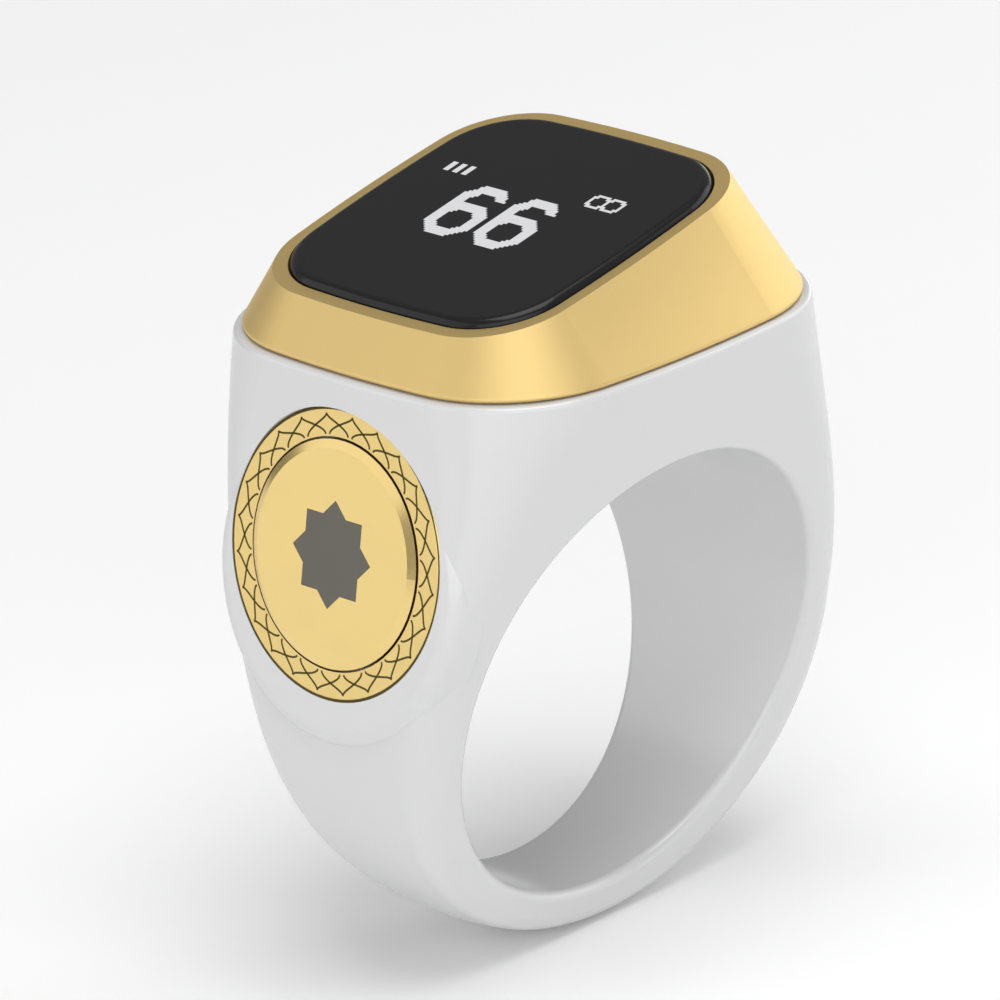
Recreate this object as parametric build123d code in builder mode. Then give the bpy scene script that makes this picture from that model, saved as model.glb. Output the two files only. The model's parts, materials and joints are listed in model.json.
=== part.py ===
"""Digital tasbih counter that is worn on a finger.

The origin is the centre of the finger bore. +Y runs along the finger, +Z points at the
display, and the press button faces -X. Lengths are millimetres, angles are degrees.
"""

import os
from math import asin, cos, degrees, pi, radians, sin, sqrt, tan

from build123d import *

os.makedirs("parts", exist_ok=True)

# Finger bore and band
bore_diameter = 20.0
band_wall = 2.05
side_wall = 2.55
band_skew = 0.22
band_half_width = 5.58
face_lean = 14.95
band_crown = 0.3
band_face_crown = 0.08
band_corner = 1.7
under_corner = 0.8
bore_edge_radius = 0.32
probe_shares = (0.2, 0.5, 0.8)
probe_tolerance_share = 0.1

# Head of the housing
head_rise = 4.9
seat_ledge = 0.2
seat_edge_radius = 0.2
side_crown = 0.84
seat_corner = 5.9
bore_roof = 0.7
height_shares = (1, 0.75, 0.5, 0.25, 0, -0.15)
plain_side_shares = (0, 0.15, 0.48, 0.86, 1, 0.9)
button_side_shares = (0, 0.15, 0.48, 0.84, 1, 0.9)
button_crown_shares = (1, 0, -0.35, -0.37, 0, 0)
plain_corner_shares = (1, 0.45, 0.15, 0.05, 0, 0)
button_corner_shares = (1, 0.35, 0.08, 0.02, 0, 0)
under_reach_share = 0.3
turn_shares = (-0.08, 0, 0.125, 0.25, 0.375, 0.5, 0.625, 0.75, 0.875, 1, 1.08)

# Bezel
foot_half_x = 10.24
foot_half_y = 9.94
foot_crown = 0.84
foot_corner = 5.87
foot_edge_radius = 0.15
rim_set_x = 2.17
rim_set_y = 2.08
rim_crown = 0.41
rim_corner = 3.85
rim_height = 3.83
rim_shift = 0.92
rim_tilt = 11.57
seal_thickness = 0.05
seal_inset = 0.35

# Display window and its seat
rim_land_x = 0.67
rim_land_y = 0.62
window_crown = 0.35
window_corner_step = 0.41
window_thickness = 1.1
window_proud = 0.28
window_edge_radius = 0.4
window_gap = 0.08
window_seat_width = 0.75
window_seat_thickness = 0.8
tape_thickness = 0.1
tape_inset = 0.12

# Display panel
panel_side_gap = 0.29
panel_end_gap = 1.995
panel_ledge = 1.8
panel_glass_thickness = 0.5
panel_corner = 0.3
optical_bond_thickness = 0.1
driver_length = 8.6
driver_width = 0.9
driver_thickness = 0.25
panel_flex_width = 5.0
panel_flex_thickness = 0.12
panel_flex_bend_share = 0.5
panel_flex_lap = 0.5
panel_flex_reach = 0.7

# Cavity under the bezel
seat_wall_x = 1.34
seat_wall_y = 1.74
recess_crown = 0.4
recess_corner = 3.5
recess_depth = 0.85
skirt_gap = 0.1
skirt_wall = 0.6
board_clamp_gap = 0.02
board_ledge_x = 0.6
board_ledge_y = 0.7
cavity_floor_wall = 1.3
cavity_floor_share = 0.5
cavity_corner = 2.0
cavity_crown = 0.2

# Main board
board_thickness = 0.6
board_gap = 0.12
solder_gap = 0.02
processor_size = 4.0
processor_thickness = 0.75
charger_size = 2.0
charger_thickness = 0.6
crystal_length = 2.0
crystal_width = 1.6
crystal_thickness = 0.5
antenna_length = 3.2
antenna_width = 1.6
antenna_thickness = 1.1
connector_length = 5.6
connector_width = 1.5
connector_thickness = 0.6
passive_length = 1.0
passive_width = 0.5
passive_thickness = 0.35
passive_spacing = 1.3
passive_count = 4
passive_gap = 0.2
chip_edge = 0.08

# Places on the board, as shares of the recess's half sizes along X and Y
processor_shares = (0.16, 0.2)
charger_shares = (-0.2, -0.42)
crystal_shares = (0.16, -0.28)
antenna_shares = (0.68, 0.35)
passive_row_share = 0.3

# Battery
battery_end_gap = 1.5
battery_side_gap = 1.0
battery_edge_radius = 0.6
battery_pad_inset = 0.8
battery_pad_gap = 0.04
battery_pad_thickness = 0.5
battery_tab_width = 1.2
battery_tab_thickness = 0.12
battery_tab_spacing = 4.0
battery_terrace = 1.0
battery_terrace_thickness = 0.6
foam_thickness = 0.7
foam_gap = 0.04
foam_margin = 0.8

# Vibration motor
motor_thickness = 2.0
motor_edge_radius = 0.2
motor_case_wall = 0.15
motor_base_thickness = 0.25
motor_fit_gap = 0.02
motor_shaft_radius = 0.3
motor_shaft_gap = 0.03
rotor_gap = 0.15
rotor_hub_radius = 0.7
motor_pad_thickness = 0.3
motor_pad_inset = 0.3
motor_gap = 0.15

# Charging contacts in the roof of the bore
contact_radius = 0.75
contact_set_angle = 3.94
contact_spacing = 4.0
contact_rise = 0.5
contact_recess = 0.06
contact_seal_wall = 0.2
contact_gap = 0.02
charge_flex_thickness = 0.12
charge_flex_margin = 0.15
charge_flex_lap_angle = 4.5
contact_seal_set = 0.15

# Medallion and press button
medallion_drop = 7.228
medallion_tilt = 12.0
medallion_radius = 5.99
medallion_thickness = 0.6
medallion_gap = 0.03
medallion_edge = 0.1
bond_inset = 0.15
bond_thickness = 0.05
boss_margin = 0.86
boss_drop = 1.0
boss_edge_radius = 0.8
boss_depth = 1.6
boss_flare_angle = 9.0
medallion_band = 1.29
button_gap = 0.1
button_proud = 0.19
button_thickness = 0.69
button_bevel = 0.36
button_bevel_drop = 0.15
button_travel = 0.25
button_floor_gap = 0.05
button_floor_wall = 0.5
stem_radius = 0.8
stem_gap = 0.06
stem_reach = 0.3
emblem_radius = 2.25
emblem_depth = 0.12
emblem_gap = 0.01
emblem_angle = 45.0
oring_section = 0.25
oring_depth = 0.22
oring_groove_gap = 0.03
oring_set = 0.18
clip_outer_radius = 1.3
clip_thickness = 0.15
clip_gap = 0.03
clip_groove = 0.2
clip_mouth = 0.7

# Switch behind the button
switch_length = 2.6
switch_height = 1.6
switch_thickness = 0.5
switch_floor = 0.1
switch_clearance = 0.1
plunger_radius = 0.55
plunger_gap = 0.03
plunger_engagement = 0.1
plunger_edge_radius = 0.12
switch_flex_thickness = 0.12
switch_flex_width = 2.4
switch_flex_tail = 0.3
bracket_thickness = 0.2
bracket_drop = 0.8
bracket_roof_gap = 0.14
bracket_rise = 3.2
switch_pocket_width = 6.2
switch_pocket_drop = 2.0
pocket_gap = 0.05

# Length that a cutting tool runs past what it cuts
overrun = 2.0

# Levels and frames that the pieces share
bore_radius = bore_diameter / 2
side_radius = bore_radius + side_wall
roof_radius = bore_radius + bore_roof
seat_height = bore_radius + head_rise
foot_height = seat_height + seal_thickness
seat_half_x = foot_half_x + seat_ledge
seat_half_y = foot_half_y + seat_ledge
ledge_height = seat_height - recess_depth
board_top = ledge_height + board_thickness
rim_half_x = foot_half_x - rim_set_x
rim_half_y = foot_half_y - rim_set_y
window_half_x = rim_half_x - rim_land_x
window_half_y = rim_half_y - rim_land_y
window_corner = rim_corner - window_corner_step
button_radius = medallion_radius - medallion_band

# Widths along the front and back faces of the housing
lean = tan(radians(face_lean))
flare = seat_half_y - band_half_width - lean * seat_height

# Room inside the head
recess_half_x = foot_half_x - seat_wall_x
recess_half_y = foot_half_y - seat_wall_y
cavity_half_x = recess_half_x - board_ledge_x
cavity_half_y = recess_half_y - board_ledge_y
cavity_floor_height = bore_radius * cavity_floor_share
cavity_floor_half_y = band_half_width + lean * cavity_floor_height - cavity_floor_wall
motor_outer = cavity_half_x - motor_pad_thickness
motor_inner = motor_outer - motor_thickness
battery_base = roof_radius + battery_pad_thickness
battery_top = ledge_height - foam_gap - foam_thickness
battery_width = 2 * (motor_inner - battery_side_gap)
battery_length = 2 * (cavity_half_y - battery_end_gap)

foot_plane = Plane((0, 0, foot_height), x_dir=(1, 0, 0), z_dir=(0, 0, 1))
rim_plane = Plane(
    (-rim_shift, 0, foot_height + rim_height),
    x_dir=(cos(radians(rim_tilt)), 0, sin(radians(rim_tilt))),
    z_dir=(-sin(radians(rim_tilt)), 0, cos(radians(rim_tilt))),
)
# Depths behind the medallion's face
button_back = button_thickness - button_proud
button_floor = button_back + button_travel + button_floor_gap
button_wall_back = button_floor + button_floor_wall
clip_front = button_wall_back + clip_gap
stem_tip = button_wall_back + stem_reach
plunger_tip = stem_tip + plunger_gap
switch_front = plunger_tip + button_travel + switch_clearance
switch_back = switch_front + switch_thickness
flex_back = switch_back + switch_flex_thickness
bracket_back = flex_back + bracket_thickness

# Medallion's face: far enough out for the lower edge of the bracket to clear the roof of the bore
tilt = radians(medallion_tilt)
medallion_height = seat_height - medallion_drop
bracket_edge = medallion_height - bracket_back * sin(tilt) - bracket_drop * cos(tilt)
bracket_reach = sqrt((roof_radius + bracket_roof_gap) ** 2 - bracket_edge**2)
medallion_reach = bracket_reach + bracket_back * cos(tilt) - bracket_drop * sin(tilt)
button_plane = Plane(
    (-medallion_reach, 0, medallion_height),
    x_dir=(0, -1, 0),
    z_dir=(-cos(tilt), 0, sin(tilt)),
)

# Depths under the rim
window_back = window_thickness - window_proud
tape_back = window_back + tape_thickness
window_seat_back = tape_back + window_seat_thickness
glass_front = window_back + optical_bond_thickness
glass_back = glass_front + panel_glass_thickness
panel_back = glass_back + panel_glass_thickness


def pillow(half_x, half_y, crown, corner):
    """Cushion outline: four bowed sides that meet in rounded corners."""
    edge_x = half_x - crown
    edge_y = half_y - crown
    with BuildSketch() as outline:
        with BuildLine():
            ThreePointArc((-edge_x, -edge_y), (0, -half_y), (edge_x, -edge_y))
            ThreePointArc((edge_x, -edge_y), (half_x, 0), (edge_x, edge_y))
            ThreePointArc((edge_x, edge_y), (0, half_y), (-edge_x, edge_y))
            ThreePointArc((-edge_x, edge_y), (-half_x, 0), (-edge_x, -edge_y))
        make_face()
        fillet(outline.vertices(), corner)
    return outline.sketch


def head_section(
    plain, button, half_width, face_crown, plain_crown, button_crown, plain_corner, button_corner
):
    """Level section of the head: bowed front and back, crowned sides, round corners."""
    reach = (plain + button - plain_crown - button_crown) / 2
    bow = (reach**2 + face_crown**2) / (2 * face_crown)

    def face(along):
        return half_width - bow + sqrt(bow**2 - along**2)

    right = plain - plain_crown
    left = button_crown - button
    with BuildSketch() as section:
        with BuildLine():
            ThreePointArc((left, -face(left)), (0, -half_width), (right, -face(right)))
            ThreePointArc((right, -face(right)), (plain, 0), (right, face(right)))
            ThreePointArc((right, face(right)), (0, half_width), (left, face(left)))
            ThreePointArc((left, face(left)), (-button, 0), (left, -face(left)))
        make_face()
        fillet(section.vertices().sort_by(Axis.X)[-2:], plain_corner)
        fillet(section.vertices().sort_by(Axis.X)[:2], button_corner)
    return section.sketch


def band_section(turn):
    """Section of the band: two leaning faces run out to a crowned rim with round corners."""
    inner = under_reach_share * bore_radius
    outer = side_radius + (band_wall - side_wall) * sin(turn) ** 2 + band_skew * sin(2 * turn)
    edge = outer - band_crown
    middle = (inner + edge) / 2
    slope = -lean * sin(turn)
    bow = (edge**2 + band_face_crown**2) / (2 * band_face_crown)

    def face(reach):
        return band_half_width + slope * reach - bow + sqrt(bow**2 - reach**2)

    with BuildSketch() as section:
        with BuildLine():
            ThreePointArc((inner, -face(inner)), (middle, -face(middle)), (edge, -face(edge)))
            ThreePointArc((edge, -face(edge)), (outer, 0), (edge, face(edge)))
            ThreePointArc((edge, face(edge)), (middle, face(middle)), (inner, face(inner)))
            Line((inner, face(inner)), (inner, -face(inner)))
        make_face()
        corner = band_corner + (under_corner - band_corner) * max(sin(turn), 0)
        fillet(section.vertices().sort_by(Axis.X)[-2:], corner)
    return section.sketch


def half_space(align):
    """Block that fills everything above or below the finger axis."""
    with BuildPart() as block:
        Box(
            2 * (side_radius + overrun),
            2 * (seat_half_y + overrun),
            seat_height + overrun,
            align=(Align.CENTER, Align.CENTER, align),
        )
    return block.part


def roof_cylinder(radius):
    """Cylinder about the finger axis, longer than the housing is wide."""
    with BuildPart() as cylinder:
        with BuildSketch(Plane.XZ):
            Circle(radius)
        extrude(amount=seat_half_y + overrun, both=True)
    return cylinder.part


def on_bore(edge):
    """True for an edge that lies on the wall of the finger bore."""
    points = [edge @ share for share in probe_shares]
    slack = bore_edge_radius * probe_tolerance_share
    return all(abs(sqrt(p.X**2 + p.Z**2) - bore_radius) < slack for p in points)


# Head: level sections from the bezel seat down to just under the finger axis
with BuildPart() as head:
    for height, plain_out, button_out, button_bow, plain_round, button_round in zip(
        height_shares,
        plain_side_shares,
        button_side_shares,
        button_crown_shares,
        plain_corner_shares,
        button_corner_shares,
    ):
        level = seat_height * height
        above = max(height, 0) ** 2
        with BuildSketch(Plane.XY.offset(level)):
            add(
                head_section(
                    seat_half_x + (side_radius - seat_half_x) * plain_out,
                    seat_half_x + (side_radius - seat_half_x) * button_out,
                    band_half_width + lean * level + flare * above,
                    band_face_crown + (foot_crown - band_face_crown) * above,
                    band_crown + (side_crown - band_crown) * above,
                    band_crown + (side_crown - band_crown) * button_bow,
                    band_corner + (seat_corner - band_corner) * plain_round,
                    band_corner + (seat_corner - band_corner) * button_round,
                )
            )
    loft()
    add(half_space(Align.MIN), mode=Mode.INTERSECT)
    fillet(head.faces().sort_by(Axis.Z)[-1].edges(), seat_edge_radius)

# Band: radial sections that turn under the finger from one side to the other
with BuildPart() as band:
    for share in turn_shares:
        turn = pi * share
        plane = Plane(
            (0, 0, 0), x_dir=(cos(turn), 0, -sin(turn)), z_dir=(sin(turn), 0, cos(turn))
        )
        with BuildSketch(plane):
            add(band_section(turn))
    loft()
    add(half_space(Align.MAX), mode=Mode.INTERSECT)

# Flared round pad on the side of the housing that carries the medallion
with BuildPart() as boss:
    with BuildSketch(button_plane):
        with Locations((0, -boss_drop)):
            Circle(medallion_radius + boss_margin)
    extrude(amount=-boss_depth, taper=-boss_flare_angle)
    fillet(boss.faces().sort_by(Axis.X)[0].edges(), boss_edge_radius)

# Room inside the head: a board recess over a tapering cavity that stops at the roof of the bore
with BuildPart() as cavity:
    with BuildSketch(Plane.XY.offset(ledge_height)):
        add(pillow(cavity_half_x, cavity_half_y, cavity_crown, cavity_corner))
    with BuildSketch(Plane.XY.offset(cavity_floor_height)):
        add(pillow(cavity_half_x, cavity_floor_half_y, cavity_crown, cavity_corner))
    loft()
    with BuildSketch(button_plane.offset(-button_wall_back)):
        with Locations((0, -switch_pocket_drop)):
            Rectangle(
                switch_pocket_width,
                switch_pocket_drop + seat_height,
                align=(Align.CENTER, Align.MIN),
            )
    extrude(amount=-bracket_back)
    split(bisect_by=Plane.XY.offset(ledge_height), keep=Keep.BOTTOM)
    add(roof_cylinder(roof_radius), mode=Mode.SUBTRACT)
    with BuildSketch(Plane.XY.offset(ledge_height)):
        add(pillow(recess_half_x, recess_half_y, recess_crown, recess_corner))
    extrude(amount=recess_depth + overrun)

# Charging contacts: under the gap between battery and motor, where their flex climbs to the board
contact_top = roof_radius + contact_rise
charge_flex_inner = sqrt(contact_top**2 + contact_radius**2) + solder_gap
charge_flex_outer = charge_flex_inner + charge_flex_thickness
tail_place = (battery_width / 2 + motor_inner) / 2
tail_angle = degrees(asin(tail_place / charge_flex_outer))
contact_angle = tail_angle - contact_set_angle
contact_planes = [
    Plane(
        (0, offset, 0),
        x_dir=(0, 1, 0),
        z_dir=(sin(radians(contact_angle)), 0, cos(radians(contact_angle))),
    )
    for offset in (-contact_spacing / 2, contact_spacing / 2)
]
contact_hole_radius = contact_radius + contact_seal_wall + contact_gap

# Housing: band, head and bosses in one moulding
with BuildPart() as ring_body:
    add(head.part)
    add(band.part)
    add(boss.part)
    add(roof_cylinder(bore_radius), mode=Mode.SUBTRACT)
    fillet(ring_body.edges().filter_by(on_bore).filter_by(GeomType.LINE, reverse=True), bore_edge_radius)
    add(cavity.part, mode=Mode.SUBTRACT)
    with BuildSketch(button_plane):
        Circle(medallion_radius + medallion_gap)
    extrude(amount=-(medallion_thickness + bond_thickness), mode=Mode.SUBTRACT)
    with BuildSketch(button_plane):
        Circle(medallion_radius + medallion_gap)
    extrude(amount=overrun, mode=Mode.SUBTRACT)
    with BuildSketch(button_plane):
        Circle(button_radius + button_gap)
    extrude(amount=-button_floor, mode=Mode.SUBTRACT)
    with BuildSketch(button_plane):
        Circle(stem_radius + stem_gap)
    extrude(amount=-stem_tip, mode=Mode.SUBTRACT)
    for plane in contact_planes:
        with BuildSketch(plane.offset(bore_radius - overrun)):
            Circle(contact_hole_radius)
        extrude(amount=bore_roof + overrun + contact_rise, mode=Mode.SUBTRACT)
ring_body.part.label = "ring_body"
export_step(ring_body.part, "parts/ring_body.step")


def ring_between(outer, inner):
    """Flat ring outline between two nested outlines."""
    with BuildSketch() as ring:
        add(outer)
        add(inner, mode=Mode.SUBTRACT)
    return ring.sketch


def chip(shares, length, width, thickness):
    """Component soldered on the top of the board, its long side along Y."""
    place = (shares[0] * recess_half_x, shares[1] * recess_half_y)
    with BuildPart() as body:
        with BuildSketch(Plane.XY.offset(board_top)):
            with Locations(place):
                Rectangle(width, length)
        extrude(amount=thickness)
        chamfer(body.faces().sort_by(Axis.Z)[-1].edges(), chip_edge)
    return body


# Bezel: a wedge that rises from the seat to the tilted rim, hollow under a window seat
opening_half_x = window_half_x - window_seat_width
opening_half_y = window_half_y - window_seat_width
opening_corner = window_corner - window_seat_width
skirt_half_x = recess_half_x - skirt_gap
skirt_half_y = recess_half_y - skirt_gap
skirt_depth = foot_height - board_top - board_clamp_gap
hollow_half_x = skirt_half_x - skirt_wall
hollow_half_y = skirt_half_y - skirt_wall
hollow_corner = recess_corner - skirt_gap - skirt_wall
with BuildPart() as bezel:
    with BuildSketch(foot_plane):
        add(pillow(foot_half_x, foot_half_y, foot_crown, foot_corner))
    with BuildSketch(rim_plane):
        add(pillow(rim_half_x, rim_half_y, rim_crown, rim_corner))
    loft()
    fillet(bezel.faces().sort_by(Axis.Z)[0].edges(), foot_edge_radius)
    with BuildSketch(foot_plane):
        add(pillow(skirt_half_x, skirt_half_y, recess_crown, recess_corner - skirt_gap))
    extrude(amount=-skirt_depth)
    with BuildSketch(foot_plane):
        add(pillow(hollow_half_x, hollow_half_y, recess_crown, hollow_corner))
    extrude(amount=-skirt_depth, mode=Mode.SUBTRACT)
    with BuildSketch(foot_plane):
        add(pillow(hollow_half_x, hollow_half_y, recess_crown, hollow_corner))
    with BuildSketch(rim_plane.offset(-window_seat_back)):
        add(pillow(opening_half_x, opening_half_y, window_crown, opening_corner))
    loft(mode=Mode.SUBTRACT)
    with BuildSketch(rim_plane):
        add(pillow(opening_half_x, opening_half_y, window_crown, opening_corner))
    extrude(amount=-window_seat_back, mode=Mode.SUBTRACT)
    with BuildSketch(rim_plane):
        add(
            pillow(
                window_half_x + window_gap,
                window_half_y + window_gap,
                window_crown,
                window_corner + window_gap,
            )
        )
    extrude(amount=-tape_back, mode=Mode.SUBTRACT)
bezel.part.label = "bezel"
export_step(bezel.part, "parts/bezel.step")

# Gasket between the housing and the bezel
with BuildPart() as bezel_gasket:
    with BuildSketch(Plane.XY.offset(seat_height)):
        add(
            ring_between(
                pillow(
                    foot_half_x - seal_inset,
                    foot_half_y - seal_inset,
                    foot_crown,
                    foot_corner - seal_inset,
                ),
                pillow(recess_half_x, recess_half_y, recess_crown, recess_corner),
            )
        )
    extrude(amount=seal_thickness)
bezel_gasket.part.label = "bezel_gasket"
export_step(bezel_gasket.part, "parts/bezel_gasket.step")

# Display window: a thick dark lens with a rolled edge that stands a little over the rim
with BuildPart() as display_window:
    with BuildSketch(rim_plane.offset(window_proud)):
        add(pillow(window_half_x, window_half_y, window_crown, window_corner))
    extrude(amount=-window_thickness)
    fillet(display_window.faces().sort_by(Axis.Z)[-1].edges(), window_edge_radius)
display_window.part.label = "display_window"
export_step(display_window.part, "parts/display_window.step")

# Tape that holds the window on its seat
with BuildPart() as window_tape:
    with BuildSketch(rim_plane.offset(-tape_back)):
        add(
            ring_between(
                pillow(
                    window_half_x - tape_inset,
                    window_half_y - tape_inset,
                    window_crown,
                    window_corner - tape_inset,
                ),
                pillow(
                    opening_half_x + tape_inset,
                    opening_half_y + tape_inset,
                    window_crown,
                    opening_corner + tape_inset,
                ),
            )
        )
    extrude(amount=tape_thickness)
window_tape.part.label = "window_tape"
export_step(window_tape.part, "parts/window_tape.step")

# Clear bond between the window and the display panel
panel_width = 2 * (opening_half_y - panel_side_gap)
panel_height = 2 * (opening_half_x - panel_end_gap)
panel_glass_height = panel_height - panel_ledge
with BuildPart() as optical_bond:
    with BuildSketch(rim_plane.offset(-window_back)):
        with Locations((panel_ledge / 2, 0)):
            RectangleRounded(panel_glass_height, panel_width, panel_corner)
    extrude(amount=-optical_bond_thickness)
optical_bond.part.label = "optical_bond"
export_step(optical_bond.part, "parts/optical_bond.step")

# Front glass of the display panel
with BuildPart() as panel_cover_glass:
    with BuildSketch(rim_plane.offset(-glass_front)):
        with Locations((panel_ledge / 2, 0)):
            RectangleRounded(panel_glass_height, panel_width, panel_corner)
    extrude(amount=-panel_glass_thickness)
panel_cover_glass.part.label = "panel_cover_glass"
export_step(panel_cover_glass.part, "parts/panel_cover_glass.step")

# Back glass of the panel, longer by the ledge that carries the driver
with BuildPart() as panel_substrate:
    with BuildSketch(rim_plane.offset(-glass_back)):
        RectangleRounded(panel_height, panel_width, panel_corner)
    extrude(amount=-panel_glass_thickness)
panel_substrate.part.label = "panel_substrate"
export_step(panel_substrate.part, "parts/panel_substrate.step")

# Driver chip on the panel's ledge, beside the front glass
ledge_edge = -panel_height / 2
driver_place = ledge_edge + panel_ledge - panel_corner - driver_width / 2
with BuildPart() as display_driver:
    with BuildSketch(rim_plane.offset(-glass_back)):
        with Locations((driver_place, 0)):
            Rectangle(driver_width, driver_length)
    extrude(amount=driver_thickness)
display_driver.part.label = "display_driver"
export_step(display_driver.part, "parts/display_driver.step")

# Flex tail that leaves the ledge and turns down to its connector
flex_level = panel_flex_thickness / 2 - glass_back
flex_start = rim_plane.from_local_coords(Vector(ledge_edge + panel_flex_lap, 0, flex_level))
flex_turn = rim_plane.from_local_coords(Vector(ledge_edge - panel_flex_reach, 0, flex_level))
flex_end = Vector(flex_turn.X, 0, board_top + connector_thickness + solder_gap)
with BuildPart() as panel_flex:
    with BuildLine() as flex_path:
        FilletPolyline(
            flex_start, flex_turn, flex_end, radius=panel_flex_reach * panel_flex_bend_share
        )
    with BuildSketch(Plane(flex_start, x_dir=(0, 1, 0), z_dir=flex_path.line % 0)):
        Rectangle(panel_flex_width, panel_flex_thickness)
    sweep()
panel_flex.part.label = "panel_flex"
export_step(panel_flex.part, "parts/panel_flex.step")

# Main board: drops on the ledge of the recess and is clamped by the bezel's skirt
with BuildPart() as main_board:
    with BuildSketch(Plane.XY.offset(ledge_height)):
        add(
            pillow(
                recess_half_x - board_gap,
                recess_half_y - board_gap,
                recess_crown,
                recess_corner - board_gap,
            )
        )
    extrude(amount=board_thickness)
main_board.part.label = "main_board"
export_step(main_board.part, "parts/main_board.step")

# Components on the board
radio_processor = chip(processor_shares, processor_size, processor_size, processor_thickness)
radio_processor.part.label = "radio_processor"
export_step(radio_processor.part, "parts/radio_processor.step")

charge_controller = chip(charger_shares, charger_size, charger_size, charger_thickness)
charge_controller.part.label = "charge_controller"
export_step(charge_controller.part, "parts/charge_controller.step")

timing_crystal = chip(crystal_shares, crystal_length, crystal_width, crystal_thickness)
timing_crystal.part.label = "timing_crystal"
export_step(timing_crystal.part, "parts/timing_crystal.step")

chip_antenna = chip(antenna_shares, antenna_length, antenna_width, antenna_thickness)
chip_antenna.part.label = "chip_antenna"
export_step(chip_antenna.part, "parts/chip_antenna.step")

connector_shares = (flex_end.X / recess_half_x, 0)
display_connector = chip(connector_shares, connector_length, connector_width, connector_thickness)
display_connector.part.label = "display_connector"
export_step(display_connector.part, "parts/display_connector.step")

# Two rows of small parts beside the connector
block_width = passive_spacing + passive_length
passive_edge = flex_end.X + connector_width / 2 + passive_gap
with BuildPart() as board_passives:
    with BuildSketch(Plane.XY.offset(board_top)):
        with Locations((passive_edge + block_width / 2, passive_row_share * recess_half_y)):
            with GridLocations(passive_spacing, passive_spacing, 2, passive_count):
                Rectangle(passive_length, passive_width)
    extrude(amount=passive_thickness)
board_passives.part.label = "board_passives"
export_step(board_passives.part, "parts/board_passives.step")

# Pad that levels the battery on the curved roof of the bore, beside the charging contacts
contact_turn = radians(contact_angle)
contact_edge = roof_radius * sin(contact_turn) - contact_hole_radius * cos(contact_turn)
battery_pad_half = contact_edge - battery_pad_gap
with BuildPart() as battery_pad:
    with BuildSketch(Plane.XY.offset(battery_base)):
        Rectangle(2 * battery_pad_half, battery_length - 2 * battery_pad_inset)
    extrude(amount=-bore_radius)
    add(roof_cylinder(roof_radius), mode=Mode.SUBTRACT)
    add(half_space(Align.MIN), mode=Mode.INTERSECT)
battery_pad.part.label = "battery_pad"
export_step(battery_pad.part, "parts/battery_pad.step")

# Pouch battery with its sealed terrace at one end
battery_body_length = battery_length - battery_terrace
with BuildPart() as battery_cell:
    with BuildSketch(Plane.XY.offset(battery_base)):
        with Locations((0, battery_terrace / 2)):
            Rectangle(battery_width, battery_body_length)
    extrude(amount=battery_top - battery_base)
    fillet(battery_cell.edges().filter_by(Axis.Y), battery_edge_radius)
    with BuildSketch(Plane.XY.offset(battery_base + battery_edge_radius)):
        with Locations((0, -battery_body_length / 2)):
            Rectangle(battery_width - 2 * battery_edge_radius, battery_terrace)
    extrude(amount=battery_terrace_thickness)
battery_cell.part.label = "battery_cell"
export_step(battery_cell.part, "parts/battery_cell.step")

# Two metal tabs that rise from the terrace to the board
tab_base = battery_base + battery_edge_radius
with BuildPart() as battery_tabs:
    with BuildSketch(Plane.XY.offset(tab_base)):
        with Locations((0, -(battery_length + battery_tab_thickness) / 2)):
            with GridLocations(battery_tab_spacing, 0, 2, 1):
                Rectangle(battery_tab_width, battery_tab_thickness)
    extrude(amount=ledge_height - solder_gap - tab_base)
battery_tabs.part.label = "battery_tabs"
export_step(battery_tabs.part, "parts/battery_tabs.step")

# Foam sheet between the battery and the board
with BuildPart() as battery_foam:
    with BuildSketch(Plane.XY.offset(battery_top)):
        with Locations((0, battery_terrace / 2)):
            Rectangle(battery_width - 2 * foam_margin, battery_body_length - 2 * foam_margin)
    extrude(amount=foam_thickness)
battery_foam.part.label = "battery_foam"
export_step(battery_foam.part, "parts/battery_foam.step")

# Coin motor that stands on edge beside the battery: a cup, its base, a shaft and a half-round rotor
motor_foot = sqrt((roof_radius + motor_gap) ** 2 - motor_inner**2)
motor_radius = (ledge_height - motor_gap - motor_foot) / 2
motor_height = motor_foot + motor_radius
motor_chamber_radius = motor_radius - motor_case_wall
motor_chamber_start = motor_inner + motor_case_wall
motor_chamber_end = motor_outer - motor_base_thickness
rotor_radius = motor_chamber_radius - rotor_gap
with BuildPart() as motor_case:
    with BuildSketch(Plane.YZ.offset(motor_inner)):
        with Locations((0, motor_height)):
            Circle(motor_radius)
    extrude(amount=motor_thickness)
    fillet(motor_case.faces().sort_by(Axis.X)[0].edges(), motor_edge_radius)
    with BuildSketch(Plane.YZ.offset(motor_chamber_start)):
        with Locations((0, motor_height)):
            Circle(motor_chamber_radius)
    extrude(amount=motor_thickness, mode=Mode.SUBTRACT)
motor_case.part.label = "motor_case"
export_step(motor_case.part, "parts/motor_case.step")

with BuildPart() as motor_base:
    with BuildSketch(Plane.YZ.offset(motor_chamber_end)):
        with Locations((0, motor_height)):
            Circle(motor_chamber_radius - motor_fit_gap)
    extrude(amount=motor_base_thickness)
motor_base.part.label = "motor_base"
export_step(motor_base.part, "parts/motor_base.step")

with BuildPart() as motor_shaft:
    with BuildSketch(Plane.YZ.offset(motor_chamber_end)):
        with Locations((0, motor_height)):
            Circle(motor_shaft_radius)
    extrude(amount=motor_chamber_start + motor_fit_gap - motor_chamber_end)
motor_shaft.part.label = "motor_shaft"
export_step(motor_shaft.part, "parts/motor_shaft.step")

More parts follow.
